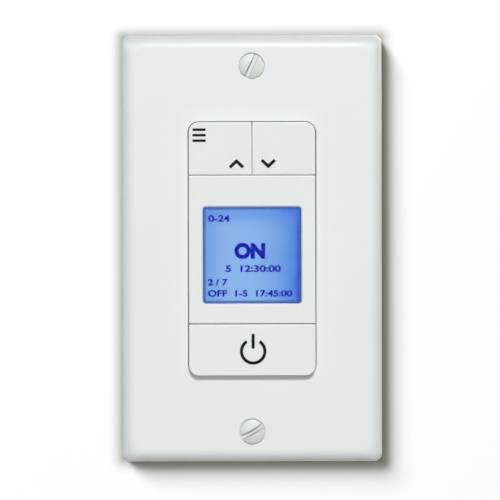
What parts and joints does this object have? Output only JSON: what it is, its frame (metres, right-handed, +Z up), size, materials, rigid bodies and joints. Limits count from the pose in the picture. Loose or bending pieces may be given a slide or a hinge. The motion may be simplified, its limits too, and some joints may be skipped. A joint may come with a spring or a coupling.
{
  "type": "timer light switch",
  "caption": "Wall-mounted timer light switch with a backlit display, rocker and push keys, wall plate, strap and rear housing with wire clamps.",
  "frame": {"origin": "middle of the strap's two box-screw slots, on the wall plane", "axes": "+X to the right seen from the front, +Y into the wall, +Z up; the face looks along -Y"},
  "size_m": [0.0698, 0.0389, 0.1142],
  "materials": {
    "plate_white": "gloss white thermoplastic",
    "face_white": "satin white plastic",
    "white_steel": "white paint over steel",
    "zinc_steel": "zinc-plated steel",
    "fibre": "vulcanised fibre",
    "green_screw": "green dyed steel",
    "clear_window": "clear",
    "film": "polarising film",
    "display_glass": "liquid crystal glass",
    "diffuser": "milky film",
    "guide": "clear acrylic light guide",
    "chip_black": "moulded black epoxy",
    "led": "blue lamp",
    "tray_white": "white frame",
    "flex_amber": "amber polyimide",
    "board_green": "green solder mask",
    "can_metal": "bright can",
    "cell_metal": "nickel-plated steel",
    "pin_brass": "brass pins",
    "cap_yellow": "yellow case",
    "can_sleeve": "dark sleeve",
    "disc_blue": "blue coating",
    "fuse_brown": "brown cap",
    "ferrite": "ferrite",
    "copper_wire": "enamelled copper wire",
    "relay_black": "black case",
    "relay_iron": "nickel-plated iron",
    "contact_metal": "copper alloy",
    "lug_brass": "brass",
    "switch_black": "black thermoplastic",
    "plunger_grey": "grey plunger",
    "housing_grey": "dark grey thermoplastic",
    "case_screw": "zinc-plated steel"
  },
  "bodies": {
    "switch": {"wall_plate": "plate_white", "plate_screws": "white_steel", "mounting_strap": "zinc_steel", "box_screws": "zinc_steel", "screw_retainers": "fibre", "ground_screw": "green_screw", "front_bezel": "face_white", "switch_bases": "switch_black", "display_window": "clear_window", "front_polariser": "film", "lcd_front_glass": "display_glass", "lcd_rear_glass": "display_glass", "rear_polariser": "film", "diffuser_sheet": "diffuser", "light_guide": "guide", "driver_chip": "chip_black", "backlight_leds": "led", "display_tray": "tray_white", "display_flex": "flex_amber", "logic_board": "board_green", "microcontroller": "chip_black", "crystal": "can_metal", "backup_cell": "cell_metal", "cell_clip": "pin_brass", "board_header": "chip_black", "header_pins": "pin_brass", "power_board": "board_green", "film_capacitor": "cap_yellow", "electrolytic_capacitor": "can_sleeve", "varistor": "disc_blue", "fuse": "fuse_brown", "choke": "ferrite", "choke_winding": "copper_wire", "rectifier": "chip_black", "relay_case": "relay_black", "relay_base": "relay_black", "relay_yoke": "relay_iron", "relay_coil": "copper_wire", "relay_contact": "contact_metal", "terminal_lugs": "lug_brass", "rear_housing": "housing_grey", "housing_screws": "case_screw"},
    "menu_up_key": {"menu_up_key": "face_white"},
    "down_key": {"down_key": "face_white"},
    "power_key": {"power_key": "face_white"},
    "menu_plunger": {"menu_plunger": "plunger_grey"},
    "up_plunger": {"up_plunger": "plunger_grey"},
    "down_plunger": {"down_plunger": "plunger_grey"},
    "power_plunger": {"power_plunger": "plunger_grey"},
    "line_clamp": {"line_clamp": "lug_brass"},
    "line_screw": {"line_screw": "lug_brass"},
    "neutral_clamp": {"neutral_clamp": "lug_brass"},
    "neutral_screw": {"neutral_screw": "lug_brass"},
    "load_clamp": {"load_clamp": "lug_brass"},
    "load_screw": {"load_screw": "lug_brass"},
    "traveller_clamp": {"traveller_clamp": "lug_brass"},
    "traveller_screw": {"traveller_screw": "lug_brass"},
    "relay_armature": {"relay_armature": "relay_iron"}
  },
  "joints": [
    {"name": "menu_up_key_rock", "type": "hinge", "parent": "switch", "child": "menu_up_key", "pos_m": [-0.0084, -0.0044, 0.02636], "axis": [1, 0, 0], "range_deg": [-3.56, 3.56], "stiffness_Nm_per_rad": 0.08},
    {"name": "down_key_rock", "type": "hinge", "parent": "switch", "child": "down_key", "pos_m": [0.0084, -0.0044, 0.02636], "axis": [1, 0, 0], "range_deg": [0, 3.56], "stiffness_Nm_per_rad": 0.08},
    {"name": "power_key_push", "type": "slide", "parent": "switch", "child": "power_key", "axis": [0, 1, 0], "range_m": [0, 0.0002], "stiffness_N_per_m": 1500},
    {"name": "menu_plunger_push", "type": "slide", "parent": "switch", "child": "menu_plunger", "axis": [0, 1, 0], "range_m": [-0.00021, 0.00021]},
    {"name": "up_plunger_push", "type": "slide", "parent": "switch", "child": "up_plunger", "axis": [0, 1, 0], "range_m": [-0.00021, 0.00021]},
    {"name": "down_plunger_push", "type": "slide", "parent": "switch", "child": "down_plunger", "axis": [0, 1, 0], "range_m": [0, 0.00021]},
    {"name": "power_plunger_push", "type": "slide", "parent": "switch", "child": "power_plunger", "axis": [0, 1, 0], "range_m": [0, 0.00021]},
    {"name": "line_clamp_travel", "type": "slide", "parent": "switch", "child": "line_clamp", "axis": [1, 0, 0], "range_m": [0, 0.00198]},
    {"name": "line_screw_turn", "type": "hinge", "parent": "switch", "child": "line_screw", "pos_m": [-0.02, 0.0186, 0.01], "axis": [-1, 0, 0], "range_deg": [0, 900]},
    {"name": "neutral_clamp_travel", "type": "slide", "parent": "switch", "child": "neutral_clamp", "axis": [1, 0, 0], "range_m": [0, 0.00198]},
    {"name": "neutral_screw_turn", "type": "hinge", "parent": "switch", "child": "neutral_screw", "pos_m": [-0.02, 0.0186, -0.01], "axis": [-1, 0, 0], "range_deg": [0, 900]},
    {"name": "load_clamp_travel", "type": "slide", "parent": "switch", "child": "load_clamp", "axis": [-1, 0, 0], "range_m": [0, 0.00198]},
    {"name": "load_screw_turn", "type": "hinge", "parent": "switch", "child": "load_screw", "pos_m": [0.02, 0.0186, 0.01], "axis": [1, 0, 0], "range_deg": [0, 900]},
    {"name": "traveller_clamp_travel", "type": "slide", "parent": "switch", "child": "traveller_clamp", "axis": [-1, 0, 0], "range_m": [0, 0.00198]},
    {"name": "traveller_screw_turn", "type": "hinge", "parent": "switch", "child": "traveller_screw", "pos_m": [0.02, 0.0186, -0.01], "axis": [1, 0, 0], "range_deg": [0, 900]},
    {"name": "relay_armature_pull", "type": "hinge", "parent": "switch", "child": "relay_armature", "pos_m": [-0.0018, 0.0145, 0.02345], "axis": [1, 0, 0], "range_deg": [-2, 0], "stiffness_Nm_per_rad": 0.02}
  ],
  "couplings": [
    {"joint": "menu_plunger_push", "follows": "menu_up_key_rock", "m_per_rad": -0.0032155},
    {"joint": "up_plunger_push", "follows": "menu_up_key_rock", "m_per_rad": 0.0032155},
    {"joint": "down_plunger_push", "follows": "down_key_rock", "m_per_rad": 0.0032155},
    {"joint": "power_plunger_push", "follows": "power_key_push", "ratio": 1},
    {"joint": "line_screw_turn", "follows": "line_clamp_travel", "rad_per_m": 7913.3},
    {"joint": "neutral_screw_turn", "follows": "neutral_clamp_travel", "rad_per_m": 7913.3},
    {"joint": "load_screw_turn", "follows": "load_clamp_travel", "rad_per_m": 7913.3},
    {"joint": "traveller_screw_turn", "follows": "traveller_clamp_travel", "rad_per_m": 7913.3}
  ]
}
